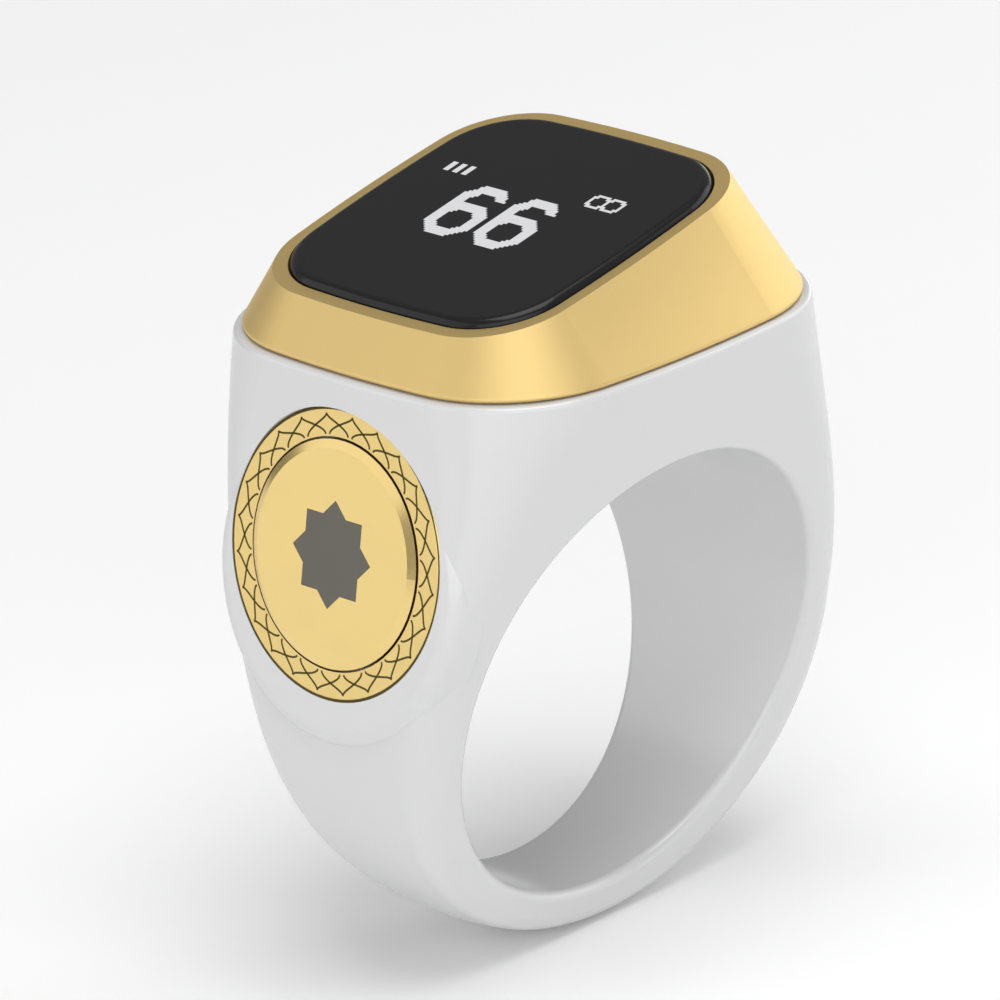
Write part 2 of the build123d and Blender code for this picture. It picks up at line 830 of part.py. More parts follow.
with BuildPart() as motor_rotor:
    with BuildSketch(Plane.YZ.offset(motor_chamber_start + rotor_gap)):
        with Locations((0, motor_height)):
            Circle(rotor_radius)
            Rectangle(
                2 * rotor_radius,
                rotor_radius,
                align=(Align.CENTER, Align.MIN),
                mode=Mode.SUBTRACT,
            )
            Circle(rotor_hub_radius)
            Circle(motor_shaft_radius + motor_shaft_gap, mode=Mode.SUBTRACT)
    extrude(amount=motor_chamber_end - motor_chamber_start - 2 * rotor_gap)
motor_rotor.part.label = "motor_rotor"
export_step(motor_rotor.part, "parts/motor_rotor.step")

# Pad that sticks the motor to the side of the cavity
with BuildPart() as motor_pad:
    with BuildSketch(Plane.YZ.offset(motor_outer)):
        with Locations((0, motor_height)):
            Circle(motor_radius - motor_pad_inset)
    extrude(amount=motor_pad_thickness - pocket_gap)
motor_pad.part.label = "motor_pad"
export_step(motor_pad.part, "parts/motor_pad.step")

# Charging contacts, flat pads just under the surface of the bore
with BuildPart() as charge_contacts:
    for plane in contact_planes:
        with BuildSketch(plane.offset(bore_radius + contact_recess)):
            Circle(contact_radius)
        extrude(amount=bore_roof + contact_rise - contact_recess)
charge_contacts.part.label = "charge_contacts"
export_step(charge_contacts.part, "parts/charge_contacts.step")

# Sleeves that seal the contacts in the roof
with BuildPart() as contact_seals:
    for plane in contact_planes:
        with BuildSketch(plane.offset(bore_radius + contact_seal_set)):
            Circle(contact_radius + contact_seal_wall)
            Circle(contact_radius + contact_gap, mode=Mode.SUBTRACT)
        extrude(amount=bore_roof - contact_seal_set)
contact_seals.part.label = "contact_seals"
export_step(contact_seals.part, "parts/contact_seals.step")

# Flex that joins the contacts and climbs between battery and motor to the board
charge_flex_width = contact_spacing + 2 * (contact_radius + charge_flex_margin)
tail_base = charge_flex_outer * cos(radians(tail_angle))
with BuildPart() as charge_flex:
    with BuildSketch(Plane((0, 0, 0), x_dir=(0, 0, 1), z_dir=(0, 1, 0))):
        with BuildLine():
            start = contact_angle - charge_flex_lap_angle
            under = CenterArc((0, 0), charge_flex_inner, start, tail_angle - start)
            over = CenterArc((0, 0), charge_flex_outer, start, tail_angle - start)
            Line(under @ 0, over @ 0)
            Line(under @ 1, over @ 1)
        make_face()
        with Locations((tail_base, tail_place)):
            Rectangle(
                ledge_height - solder_gap - tail_base,
                charge_flex_thickness,
                align=(Align.MIN, Align.MAX),
            )
    extrude(amount=charge_flex_width / 2, both=True)
charge_flex.part.label = "charge_flex"
export_step(charge_flex.part, "parts/charge_flex.step")

# Medallion surround that is bonded in the side pocket
medallion_opening = button_radius + button_gap
with BuildPart() as medallion_ring:
    with BuildSketch(button_plane):
        Circle(medallion_radius)
        Circle(medallion_opening, mode=Mode.SUBTRACT)
    extrude(amount=-medallion_thickness)
    chamfer(medallion_ring.faces().sort_by(Axis.X)[0].outer_wire().edges(), medallion_edge)
medallion_ring.part.label = "medallion_ring"
export_step(medallion_ring.part, "parts/medallion_ring.step")

with BuildPart() as medallion_bond:
    with BuildSketch(button_plane.offset(-medallion_thickness)):
        Circle(medallion_radius - bond_inset)
        Circle(medallion_opening + bond_inset, mode=Mode.SUBTRACT)
    extrude(amount=-bond_thickness)
medallion_bond.part.label = "medallion_bond"
export_step(medallion_bond.part, "parts/medallion_bond.step")

# Push button: bevelled cap and grooved stem turned about the button axis
button_axis = Axis(button_plane.origin, button_plane.z_dir)
button_section = Plane(
    button_plane.origin,
    x_dir=button_plane.x_dir,
    z_dir=button_plane.x_dir.cross(button_plane.z_dir),
)
oring_level = button_floor + oring_set
oring_groove_radius = stem_radius - oring_depth
oring_groove_half = oring_section / 2 + oring_groove_gap
clip_groove_radius = stem_radius - clip_groove
clip_groove_back = clip_front + clip_thickness + clip_gap
emblem_side = emblem_radius * sqrt(2)
with BuildPart() as button_cap:
    with BuildSketch(button_section):
        with BuildLine():
            Polyline(
                (0, button_proud),
                (button_radius - button_bevel, button_proud),
                (button_radius, button_proud - button_bevel_drop),
                (button_radius, -button_back),
                (stem_radius, -button_back),
                (stem_radius, oring_groove_half - oring_level),
                (oring_groove_radius, oring_groove_half - oring_level),
                (oring_groove_radius, -oring_groove_half - oring_level),
                (stem_radius, -oring_groove_half - oring_level),
                (stem_radius, -clip_front),
                (clip_groove_radius, -clip_front),
                (clip_groove_radius, -clip_groove_back),
                (stem_radius, -clip_groove_back),
                (stem_radius, -stem_tip),
                (0, -stem_tip),
                close=True,
            )
        make_face()
    revolve(axis=button_axis)
    with BuildSketch(button_plane.offset(button_proud)):
        Rectangle(emblem_side, emblem_side)
        Rectangle(emblem_side, emblem_side, rotation=emblem_angle)
    extrude(amount=-emblem_depth, mode=Mode.SUBTRACT)
button_cap.part.label = "button_cap"
export_step(button_cap.part, "parts/button_cap.step")

# Eight-pointed star let into the cap
inlay_side = emblem_side - 2 * emblem_gap
with BuildPart() as button_emblem:
    with BuildSketch(button_plane.offset(button_proud)):
        Rectangle(inlay_side, inlay_side)
        Rectangle(inlay_side, inlay_side, rotation=emblem_angle)
    extrude(amount=-emblem_depth)
button_emblem.part.label = "button_emblem"
export_step(button_emblem.part, "parts/button_emblem.step")

# Ring seal in the stem's groove
with BuildPart() as button_oring:
    with BuildSketch(button_section):
        with Locations((oring_groove_radius + oring_section / 2, -oring_level)):
            Circle(oring_section / 2)
    revolve(axis=button_axis)
button_oring.part.label = "button_oring"
export_step(button_oring.part, "parts/button_oring.step")

# Clip that keeps the button from falling out
with BuildPart() as button_clip:
    with BuildSketch(button_plane.offset(-clip_front)):
        Circle(clip_outer_radius)
        Circle(clip_groove_radius, mode=Mode.SUBTRACT)
        Rectangle(clip_mouth, clip_outer_radius, align=(Align.CENTER, Align.MIN), mode=Mode.SUBTRACT)
    extrude(amount=-clip_thickness)
button_clip.part.label = "button_clip"
export_step(button_clip.part, "parts/button_clip.step")

# Low switch that the stem presses
with BuildPart() as switch_housing:
    with BuildSketch(button_plane.offset(-switch_front)):
        Rectangle(switch_length, switch_height)
    extrude(amount=-switch_thickness)
    chamfer(switch_housing.faces().sort_by(Axis.X)[0].edges(), chip_edge)
    with BuildSketch(button_plane.offset(-switch_front)):
        Circle(plunger_radius + plunger_gap)
    extrude(amount=-(switch_thickness - switch_floor), mode=Mode.SUBTRACT)
switch_housing.part.label = "switch_housing"
export_step(switch_housing.part, "parts/switch_housing.step")

with BuildPart() as switch_plunger:
    with BuildSketch(button_plane.offset(-plunger_tip)):
        Circle(plunger_radius)
    extrude(amount=-(switch_front + plunger_engagement - plunger_tip))
    fillet(switch_plunger.faces().sort_by(Axis.X)[0].edges(), plunger_edge_radius)
switch_plunger.part.label = "switch_plunger"
export_step(switch_plunger.part, "parts/switch_plunger.step")

# Flex under the switch, up to the board
switch_flex_base = -(switch_height / 2 + switch_flex_tail)
flex_room = ledge_height - solder_gap - button_plane.origin.Z + switch_back * sin(tilt)
switch_flex_top = flex_room / cos(tilt)
with BuildPart() as switch_flex:
    with BuildSketch(button_plane.offset(-switch_back)):
        with Locations((0, switch_flex_base)):
            Rectangle(
                switch_flex_width,
                switch_flex_top - switch_flex_base,
                align=(Align.CENTER, Align.MIN),
            )
    extrude(amount=-switch_flex_thickness)
switch_flex.part.label = "switch_flex"
export_step(switch_flex.part, "parts/switch_flex.step")

# Plate that backs the switch, held between the walls of its pocket
with BuildPart() as switch_bracket:
    with BuildSketch(button_plane.offset(-flex_back)):
        with Locations((0, -bracket_drop)):
            Rectangle(
                switch_pocket_width - 2 * pocket_gap,
                bracket_drop + bracket_rise,
                align=(Align.CENTER, Align.MIN),
            )
    extrude(amount=-bracket_thickness)
switch_bracket.part.label = "switch_bracket"
export_step(switch_bracket.part, "parts/switch_bracket.step")
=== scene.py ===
"""Looks of a finger-worn tasbih counter: finishes, engraving, display and studio."""

import json
from math import cos, radians, sin

import bmesh
import bpy
from bpy.props import FloatProperty, FloatVectorProperty, IntProperty, PointerProperty
from mathutils import Matrix, Vector


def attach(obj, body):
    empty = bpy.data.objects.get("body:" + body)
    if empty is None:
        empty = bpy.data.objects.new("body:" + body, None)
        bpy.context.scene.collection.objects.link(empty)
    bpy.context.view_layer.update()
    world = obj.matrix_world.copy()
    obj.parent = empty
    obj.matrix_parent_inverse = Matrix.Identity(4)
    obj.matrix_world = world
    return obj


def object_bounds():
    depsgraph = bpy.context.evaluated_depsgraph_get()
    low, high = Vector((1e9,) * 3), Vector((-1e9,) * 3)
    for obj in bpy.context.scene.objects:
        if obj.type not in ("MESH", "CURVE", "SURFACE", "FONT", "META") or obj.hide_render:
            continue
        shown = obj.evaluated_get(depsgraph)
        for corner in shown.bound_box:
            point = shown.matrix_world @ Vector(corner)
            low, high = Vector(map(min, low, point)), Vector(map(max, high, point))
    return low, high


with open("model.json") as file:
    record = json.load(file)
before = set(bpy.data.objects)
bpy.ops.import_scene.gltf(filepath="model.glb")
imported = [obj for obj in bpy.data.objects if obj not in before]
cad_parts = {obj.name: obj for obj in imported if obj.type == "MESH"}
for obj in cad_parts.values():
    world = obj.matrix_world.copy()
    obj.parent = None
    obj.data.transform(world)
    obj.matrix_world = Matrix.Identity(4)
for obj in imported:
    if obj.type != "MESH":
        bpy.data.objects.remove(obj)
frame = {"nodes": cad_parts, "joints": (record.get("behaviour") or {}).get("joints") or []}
CAD_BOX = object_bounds()

bl_info = {
    "name": "Finger Tasbih Counter",
    "version": (1, 0, 0),
    "blender": (4, 5, 0),
    "location": "View3D > Sidebar > Counter",
    "description": "Finishes, engraving, display and studio of a finger-worn counter",
    "category": "Object",
}

MM = 0.001
FULL_TURN = radians(360)
WHITE = (1, 1, 1, 1)

# Sockets of a Mix node that mixes colours
MIX_FACTOR = 0
MIX_FIRST = 6
MIX_SECOND = 7
MIX_RESULT = 2

# Mean of a noise, share of the slow noise in the gloss, height of the grain, softness of a clear coat
NOISE_MEAN = 0.5
SLOW_SHARE = 0.6
GRAIN_HEIGHT = 0.02 * MM
COAT_ROUGHNESS = 0.2

# Points along a petal's line, points round the border and steps round each wedge behind the boss
PETAL_POINTS = 20
BORDER_POINTS = 192
BLEND_STEPS = 16

# Lean of the rim that carries the window
RIM_TILT = radians(11.57)

# Outlines of the display's characters, in mm from each character's lower left corner
SIX = (
    (
        (0, 0.72), (0.72, 0), (1.78, 0), (2.5, 0.75), (2.5, 1.95), (1.9, 2.5), (0.66, 2.5), (0.54, 2.36),
        (0.54, 2.84), (0.95, 3.38), (1.58, 3.38), (1.88, 3.1), (2.46, 3.1),
        (1.7, 3.98), (0.7, 3.98), (0, 3.15),
    ),
    (
        (0.54, 1.0), (0.9, 0.56), (1.64, 0.56), (1.98, 0.95),
        (1.98, 1.6), (1.7, 1.92), (0.84, 1.92), (0.54, 1.5),
    ),
)
BAR = (((0, 0), (0.3, 0), (0.3, 0.75), (0, 0.75)),)
CELL = (
    (
        (0, 0.24), (0.2, 0), (0.78, 0), (0.98, 0.24),
        (0.98, 0.74), (0.78, 0.98), (0.2, 0.98), (0, 0.74),
    ),
    (
        (0.15, 0.3), (0.28, 0.15), (0.7, 0.15), (0.83, 0.3),
        (0.83, 0.68), (0.7, 0.83), (0.28, 0.83), (0.15, 0.68),
    ),
)

# Each character and the place of its lower left corner from the window's centre, in mm
DISPLAY = (
    (SIX, -2.95, -2.2),
    (SIX, -0.1, -2.17),
    (BAR, -5.27, 2.05),
    (BAR, -4.75, 2.05),
    (BAR, -4.23, 2.05),
    (CELL, 2.7, 2.09),
    (CELL, 3.54, 2.09),
)

# Finishes inside the counter: name, colour, roughness, other settings and the nodes that wear it
INNER_FINISHES = (
    ("seal_rubber", (0.03, 0.03, 0.03), 0.7, {"grain": 0.2}, ("contact_seals", "button_oring")),
    ("gasket_grey", (0.32, 0.31, 0.28), 0.7, {"grain": 0.1}, ("bezel_gasket",)),
    (
        "foam_grey", (0.14, 0.14, 0.15), 0.9, {"grain": 0.5, "grain_size": 0.3},
        ("battery_pad", "battery_foam", "motor_pad"),
    ),
    ("adhesive_black", (0.05, 0.05, 0.05), 0.6, {"grain": 0.1}, ("window_tape", "medallion_bond")),
    ("clear_bond", (0.85, 0.86, 0.87), 0.1, {"alpha": 0.4}, ("optical_bond",)),
    ("panel_glass", (0.03, 0.035, 0.04), 0.08, {"coat": 0.3}, ("panel_cover_glass", "panel_substrate")),
    (
        "chip_black", (0.025, 0.025, 0.027), 0.55, {"grain": 0.15},
        ("display_driver", "radio_processor", "charge_controller"),
    ),
    (
        "flex_amber", (0.45, 0.22, 0.05), 0.35, {"drift": 0.12, "drift_size": 2.0},
        ("panel_flex", "charge_flex", "switch_flex"),
    ),
    ("board_green", (0.02, 0.15, 0.06), 0.4, {"drift": 0.15, "drift_size": 1.5}, ("main_board",)),
    (
        "ceramic_cream", (0.68, 0.63, 0.54), 0.6, {"drift": 0.06, "grain": 0.1},
        ("chip_antenna", "board_passives", "display_connector"),
    ),
    (
        "steel_satin", (0.6, 0.6, 0.6), 0.32, {"metallic": 1.0, "grain": 0.06},
        (
            "timing_crystal", "motor_case", "motor_base", "motor_shaft",
            "motor_rotor", "switch_bracket", "button_clip", "battery_tabs",
        ),
    ),
    ("pouch_foil", (0.68, 0.68, 0.7), 0.35, {"metallic": 1.0, "grain": 0.12}, ("battery_cell",)),
    ("contact_gold", (0.83, 0.6, 0.24), 0.22, {"metallic": 1.0, "grain": 0.03}, ("charge_contacts",)),
    ("switch_black", (0.025, 0.025, 0.025), 0.5, {"grain": 0.1}, ("switch_housing", "switch_plunger")),
)

# Soft boxes: name, place, width and height in metres, power in watts
BOXES = (
    ("front_box", (0.58, -0.25, 0.25), 0.62, 0.50, 1.5),
    ("left_box", (-0.45, 0.36, 0.20), 0.70, 0.50, 0.92),
    ("near_box", (-0.43, -0.46, 0.21), 1.10, 0.42, 2.3),
    ("right_box", (0.60, 0.20, 0.08), 0.36, 0.16, 0.42),
    ("top_box", (-0.05, -0.12, 0.62), 0.50, 0.50, 2.7),
)

# Point that the soft boxes face, and how far the floor reaches to each side, in metres
LIGHT_TARGET = Vector((0, 0, 0.005))
FLOOR_REACH = 3.0

# Camera: place, directions to its right and its back, sensor width in mm, nearest and farthest view
CAMERA_PLACE = Vector((-212.87, -221.92, 126.39)) * MM
CAMERA_RIGHT = Vector((0.7061, -0.7052, -0.0639)).normalized()
CAMERA_BACK = Vector((-0.6417, -0.6754, 0.3633)).normalized()
SENSOR_WIDTH = 36.0
NEAREST = 0.01
FARTHEST = 20.0


class Mark:
    """A socket of a material's node tree. Arithmetic on it adds Math nodes."""

    def __init__(self, tree, socket):
        self.tree = tree
        self.socket = socket

    @classmethod
    def node(cls, tree, kind, settings=None, sockets=None, output=0):
        """Adds one node, with its settings first, then its sockets' values or links."""
        made = tree.nodes.new(kind)
        for name, value in (settings or {}).items():
            setattr(made, name, value)
        for name, value in (sockets or {}).items():
            if isinstance(value, Mark):
                tree.links.new(value.socket, made.inputs[name])
            else:
                made.inputs[name].default_value = value
        return cls(tree, made.outputs[output] if len(made.outputs) else None)

    def _math(self, operation, first, second):
        return Mark.node(self.tree, "ShaderNodeMath", {"operation": operation}, {0: first, 1: second})

    def __add__(self, other):
        return self._math("ADD", self, other)

    def __radd__(self, other):
        return self._math("ADD", other, self)

    def __sub__(self, other):
        return self._math("SUBTRACT", self, other)

    def __rsub__(self, other):
        return self._math("SUBTRACT", other, self)

    def __mul__(self, other):
        return self._math("MULTIPLY", self, other)

    def __rmul__(self, other):
        return self._math("MULTIPLY", other, self)


def shaded(colour, share):
    """The same colour, lighter or darker."""
    return tuple(min(channel * share, 1) for channel in colour)


def noise(tree, size, detail=2.0, roughness=0.5):
    """Noise on the piece's own coordinates, with patches of a size in mm."""
    place = Mark.node(tree, "ShaderNodeTexCoord", output="Object")
    return Mark.node(
        tree,
        "ShaderNodeTexNoise",
        None,
        {"Vector": place, "Scale": 1 / (size * MM), "Detail": detail, "Roughness": roughness},
    )


def drifting(tree, factor, colour, darkest, lightest):
    """A colour that drifts between two shares of itself."""
    return Mark.node(
        tree,
        "ShaderNodeMix",
        {"data_type": "RGBA"},
        {
            MIX_FACTOR: factor,
            MIX_FIRST: (*shaded(colour, darkest), 1),
            MIX_SECOND: (*shaded(colour, lightest), 1),
        },
        output=MIX_RESULT,
    )


def finish(
    name,
    colour,
    roughness,
    metallic=0.0,
    coat=0.0,
    drift=0.03,
    drift_size=8.0,
    grain=0.0,
    grain_size=0.25,
    unevenness=0.05,
    specular=0.5,
    alpha=1.0,
):
    """Material with a slow drift of colour, uneven gloss and a fine grain, with sizes in mm."""
    material = bpy.data.materials.new(name)
    material.use_nodes = True
    tree = material.node_tree
    tree.nodes.clear()
    slow = noise(tree, drift_size, detail=3.0, roughness=0.55)
    fine = noise(tree, grain_size, detail=2.0, roughness=0.6)
    gloss = SLOW_SHARE * slow + (1 - SLOW_SHARE) * fine
    sockets = {
        "Base Color": drifting(tree, slow, colour, 1 - drift, 1 + drift),
        "Roughness": roughness + unevenness * (gloss - NOISE_MEAN),
        "Metallic": metallic,
        "Coat Weight": coat,
        "Coat Roughness": COAT_ROUGHNESS,
        "Specular IOR Level": specular,
        "Alpha": alpha,
    }
    if grain:
        sockets["Normal"] = Mark.node(
            tree,
            "ShaderNodeBump",
            None,
            {"Strength": grain, "Distance": GRAIN_HEIGHT, "Height": fine},
        )
    shader = Mark.node(tree, "ShaderNodeBsdfPrincipled", None, sockets)
    Mark.node(tree, "ShaderNodeOutputMaterial", None, {"Surface": shader})
    return material


def shader_of(material):
    """The shader node of a finish."""
    return next(node for node in material.node_tree.nodes if node.type == "BSDF_PRINCIPLED")


def glow(name, colour, strength, unlit=0.2, roughness=0.4, patch=0.4, darkest=0.94, lightest=1.04):
    """Lit dots of the display, a little uneven."""
    material = finish(name, shaded(colour, unlit), roughness)
    tree = material.node_tree
    shader = shader_of(material)
    tone = drifting(tree, noise(tree, patch), colour, darkest, lightest)
    tree.links.new(tone.socket, shader.inputs["Emission Color"])
    shader.inputs["Emission Strength"].default_value = strength
    return material


def dress(node, material):
    """Gives a CAD node its finish."""
    mesh = frame["nodes"][node].data
    mesh.materials.clear()
    mesh.materials.append(material)


def grow(name, tree, values, points=()):
    """Runs a tree of geometry nodes on a mesh of points and returns the result as a plain mesh object."""
    seed_mesh = bpy.data.meshes.new(name + "_points")
    seed_mesh.from_pydata([tuple(p) for p in points], [], [])
    seed = bpy.data.objects.new(name + "_seed", seed_mesh)
    bpy.context.scene.collection.objects.link(seed)
    modifier = seed.modifiers.new("grow", "NODES")
    modifier.node_group = tree
    for item in tree.interface.items_tree:
        if item.in_out == "INPUT" and item.name in values:
            modifier[item.identifier] = values[item.name]
    graph = bpy.context.evaluated_depsgraph_get()
    mesh = bpy.data.meshes.new_from_object(seed.evaluated_get(graph))
    seed.modifiers.remove(modifier)
    bpy.data.objects.remove(seed)
    if not mesh.polygons:
        raise RuntimeError(name + " came out empty")
    mesh.name = name
    piece = bpy.data.objects.new(name, mesh)
    bpy.context.scene.collection.objects.link(piece)
    return piece


def new_tree(name, inputs):
    """Empty geometry tree with named inputs, its input node and its output node."""
    tree = bpy.data.node_groups.new(name, "GeometryNodeTree")
    for label, kind in inputs:
        tree.interface.new_socket(label, in_out="INPUT", socket_type=kind)
    tree.interface.new_socket("Geometry", in_out="OUTPUT", socket_type="NodeSocketGeometry")
    return tree, tree.nodes.new("NodeGroupInput"), tree.nodes.new("NodeGroupOutput")


def step(tree, kind, settings=None, sockets=None):
    """Adds one geometry node, with its settings, then its sockets' values or links."""
    made = tree.nodes.new(kind)
    for name, value in (settings or {}).items():
        setattr(made, name, value)
    for name, value in (sockets or {}).items():
        links = value if isinstance(value, list) else [value]
        for link in links:
            if isinstance(link, bpy.types.NodeSocket):
                tree.links.new(link, made.inputs[name])
            else:
                made.inputs[name].default_value = link
    return made


def reckon(tree, operation, first, second=0.0, third=0.0):
    """One Math node of a geometry tree."""
    values = {0: first, 1: second, 2: third}
    return step(tree, "ShaderNodeMath", {"operation": operation}, values).outputs[0]


def paint(tree, geometry, given, result):
    """Ends a tree: real geometry in place of instances, with the given material."""
    whole = step(tree, "GeometryNodeRealizeInstances", None, {"Geometry": geometry})
    painted = step(
        tree,
        "GeometryNodeSetMaterial",
        None,
        {"Geometry": whole.outputs[0], "Material": given.outputs["Material"]},
    )
    tree.links.new(painted.outputs[0], result.inputs[0])


def petal_tree():
    """Ring of crossing ogee petals and a border line, as flat ribbons about the Z axis."""
    tree, given, result = new_tree(
        "petal_lattice",
        (
            ("Petals", "NodeSocketInt"),
            ("Base Radius", "NodeSocketFloat"),
            ("Tip Radius", "NodeSocketFloat"),
            ("Border Radius", "NodeSocketFloat"),
            ("Half Turn", "NodeSocketFloat"),
            ("Turn", "NodeSocketFloat"),
            ("Line Width", "NodeSocketFloat"),
            ("Border Width", "NodeSocketFloat"),
            ("Line Depth", "NodeSocketFloat"),
            ("Material", "NodeSocketMaterial"),
        ),
    )
    g = given.outputs

    # One half of a petal, from its base to its tip
    line = step(tree, "GeometryNodeCurvePrimitiveLine", None, {"End": (1, 0, 0)})
    fine = step(
        tree,
        "GeometryNodeResampleCurve",
        None,
        {"Curve": line.outputs[0], "Count": PETAL_POINTS},
    )
    along = step(tree, "GeometryNodeSplineParameter").outputs["Factor"]
    ease = step(
        tree,
        "ShaderNodeMapRange",
        {"interpolation_type": "SMOOTHSTEP"},
        {"Value": along, "To Min": 1.0, "To Max": 0.0},
    ).outputs[0]
    radius = step(
        tree,
        "ShaderNodeMapRange",
        None,
        {"Value": along, "To Min": g["Base Radius"], "To Max": g["Tip Radius"]},
    ).outputs[0]
    turn = reckon(tree, "MULTIPLY", ease, g["Half Turn"])
    place = step(
        tree,
        "ShaderNodeCombineXYZ",
        None,
        {
            "X": reckon(tree, "MULTIPLY", radius, reckon(tree, "COSINE", turn)),
            "Y": reckon(tree, "MULTIPLY", radius, reckon(tree, "SINE", turn)),
        },
    )
    half = step(
        tree,
        "GeometryNodeSetPosition",
        None,
        {"Geometry": fine.outputs[0], "Position": place.outputs[0]},
    ).outputs[0]

    # The whole petal, and the ring of them
    other = step(tree, "GeometryNodeTransform", None, {"Geometry": half, "Scale": (1, -1, 1)})
    petal = step(tree, "GeometryNodeJoinGeometry", None, {"Geometry": [half, other.outputs[0]]})
    points = step(tree, "GeometryNodePoints", None, {"Count": g["Petals"]})
    pitch = reckon(tree, "DIVIDE", FULL_TURN, g["Petals"])
    index = step(tree, "GeometryNodeInputIndex").outputs[0]
    spin = reckon(tree, "MULTIPLY_ADD", index, pitch, g["Turn"])
    spun = step(tree, "ShaderNodeCombineXYZ", None, {"Z": spin})
    ring = step(
        tree,
        "GeometryNodeInstanceOnPoints",
        None,
        {"Points": points.outputs[0], "Instance": petal.outputs[0], "Rotation": spun.outputs[0]},
    )
    lattice = step(tree, "GeometryNodeRealizeInstances", None, {"Geometry": ring.outputs[0]})
    border = step(
        tree,
        "GeometryNodeCurvePrimitiveCircle",
        None,
        {"Resolution": BORDER_POINTS, "Radius": g["Border Radius"]},
    )

    # Flat ribbons along the lines
    ribbons = []
    for curve, width in ((lattice, "Line Width"), (border, "Border Width")):
        flat = step(
            tree,
            "GeometryNodeSetCurveNormal",
            {"mode": "Z_UP"},
            {"Curve": curve.outputs[0]},
        )
        profile = step(
            tree,
            "GeometryNodeCurvePrimitiveQuadrilateral",
            None,
            {"Width": g[width], "Height": g["Line Depth"]},
        )
        ribbon = step(
            tree,
            "GeometryNodeCurveToMesh",
            None,
            {"Curve": flat.outputs[0], "Profile Curve": profile.outputs[0], "Fill Caps": True},
        )
        ribbons.append(ribbon.outputs[0])
    both = step(tree, "GeometryNodeJoinGeometry", None, {"Geometry": ribbons})
    paint(tree, both.outputs[0], given, result)
    return tree


def dot_tree():
    """One square tile on each point."""
    tree, given, result = new_tree(
        "display_dots",
        (
            ("Geometry", "NodeSocketGeometry"),
            ("Dot Size", "NodeSocketFloat"),
            ("Dot Depth", "NodeSocketFloat"),
            ("Material", "NodeSocketMaterial"),
        ),
    )
    g = given.outputs
    size = step(
        tree,
        "ShaderNodeCombineXYZ",
        None,
        {"X": g["Dot Size"], "Y": g["Dot Size"], "Z": g["Dot Depth"]},
    )
    tile = step(tree, "GeometryNodeMeshCube", None, {"Size": size.outputs[0]})
    tiles = step(
        tree,
        "GeometryNodeInstanceOnPoints",
        None,
        {"Points": g["Geometry"], "Instance": tile.outputs[0]},
    )
    paint(tree, tiles.outputs[0], given, result)
    return tree


def face_frame(node, outward):
    """Matrix on the outer face of a node: X to a viewer's right, Y up the face and Z outwards."""
    right = Vector((0, -1, 0))
    axes = (right, outward.cross(right), outward)
    part = frame["nodes"][node]
    corners = [part.matrix_world @ vertex.co for vertex in part.data.vertices]
    spans = [[corner.dot(axis) for corner in corners] for axis in axes]
    places = [(min(span) + max(span)) / 2 for span in spans[:2]] + [max(spans[2])]
    origin = sum((axis * place for axis, place in zip(axes, places)), Vector())
    return Matrix.Translation(origin) @ Matrix(axes).transposed().to_4x4()


def button_outward():
    """Direction in which the button faces."""
    press = next(joint for joint in frame["joints"] if joint["name"] == "button_press")
    return -Vector(press["axis"]).normalized()


def boss_blends(face, detail):
    """Mesh of two thin wedges that run from the back edge of the boss into the housing's flanks."""
    # The boss's back edge, the tip in the flank and a corner buried in the boss
    section = (
        (detail.boss_radius, -detail.boss_depth),
        (detail.boss_radius - detail.blend_height, -detail.boss_depth - detail.blend_length),
        (detail.boss_radius - 2 * detail.blend_height, -detail.boss_depth + detail.blend_height / 4),
    )
    shape = bmesh.new()
    for side in (1, -1):
        rows = []
        for index in range(BLEND_STEPS + 1):
            angle = detail.blend_start + detail.blend_sweep * index / BLEND_STEPS
            across = side * cos(angle)
            up = sin(angle)
            rows.append([
                shape.verts.new((radius * across, radius * up - detail.boss_drop, depth))
                for radius, depth in section
            ])
        for row, following in zip(rows, rows[1:]):
            for corner in range(len(section)):
                other = (corner + 1) % len(section)
                shape.faces.new((row[corner], row[other], following[other], following[corner]))
        shape.faces.new(rows[0])
        shape.faces.new(rows[-1])
    bmesh.ops.recalc_face_normals(shape, faces=shape.faces)
    mesh = bpy.data.meshes.new("boss_blends")
    shape.to_mesh(mesh)
    shape.free()
    mesh.transform(face)
    return mesh


def inside(outline, right, up):
    """True where a point lies inside a closed outline."""
    crossings = 0
    for (x1, y1), (x2, y2) in zip(outline, outline[1:] + outline[:1]):
        if (y1 > up) != (y2 > up) and right < x1 + (up - y1) * (x2 - x1) / (y2 - y1):
            crossings += 1
    return crossings % 2 == 1


def lit_points(detail):
    """Places of the display's lit dots. A place that two characters share is kept once."""
    pitch = detail.dot_pitch
    points = {}
    for outlines, right, up in DISPLAY:
        reach = max(max(corner) for corner in outlines[0]) * MM
        count = int(reach / pitch) + 1
        for row in range(count):
            for column in range(count):
                across = (column + 0.5) * pitch
                along = (row + 0.5) * pitch
                lit = [inside(outline, across / MM, along / MM) for outline in outlines]
                if sum(lit) == 1:
                    spot = (right * MM + across, up * MM + along, detail.dot_depth / 2)
                    points[round(spot[0] / pitch, 1), round(spot[1] / pitch, 1)] = spot
    return points.values()


